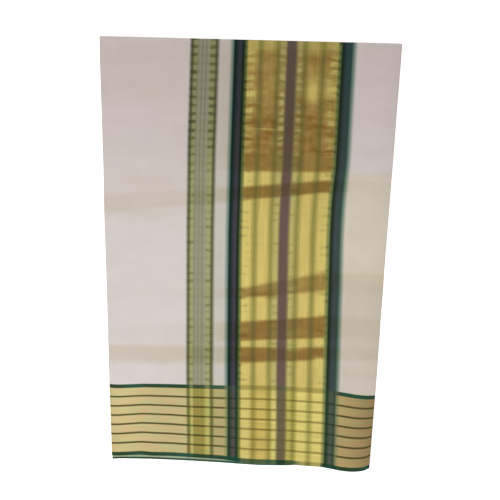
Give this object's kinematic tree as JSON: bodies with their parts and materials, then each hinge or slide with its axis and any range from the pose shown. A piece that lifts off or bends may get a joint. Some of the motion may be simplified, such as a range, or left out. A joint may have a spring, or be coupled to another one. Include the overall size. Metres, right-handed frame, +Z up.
{
  "type": "folded saree",
  "caption": "Flat folded cream cotton saree with a gold pallu band, a narrow stripe and a gold selvedge border ruled in green.",
  "frame": {"origin": "middle of the flat underside", "axes": "+Z up out of the surface it lies on, +Y towards the half fold, +X towards the pallu's end, so the selvedges are at -Y"},
  "size_m": [0.4034, 0.6079, 0.0206],
  "materials": {
    "pallu_cloth": "cream plain-weave cotton with flush woven bands of satin gold thread, dark green, mauve and olive",
    "selvedge_cloth": "gold thread border ruled with green lines, cream cotton above it",
    "folded_cloth": "cream plain-weave cotton, with gold and green selvedge edges at the front"
  },
  "bodies": {
    "root": {"pallu_front": "pallu_cloth", "pallu_back": "selvedge_cloth", "folded_layers": "folded_cloth"}
  },
  "joints": []
}
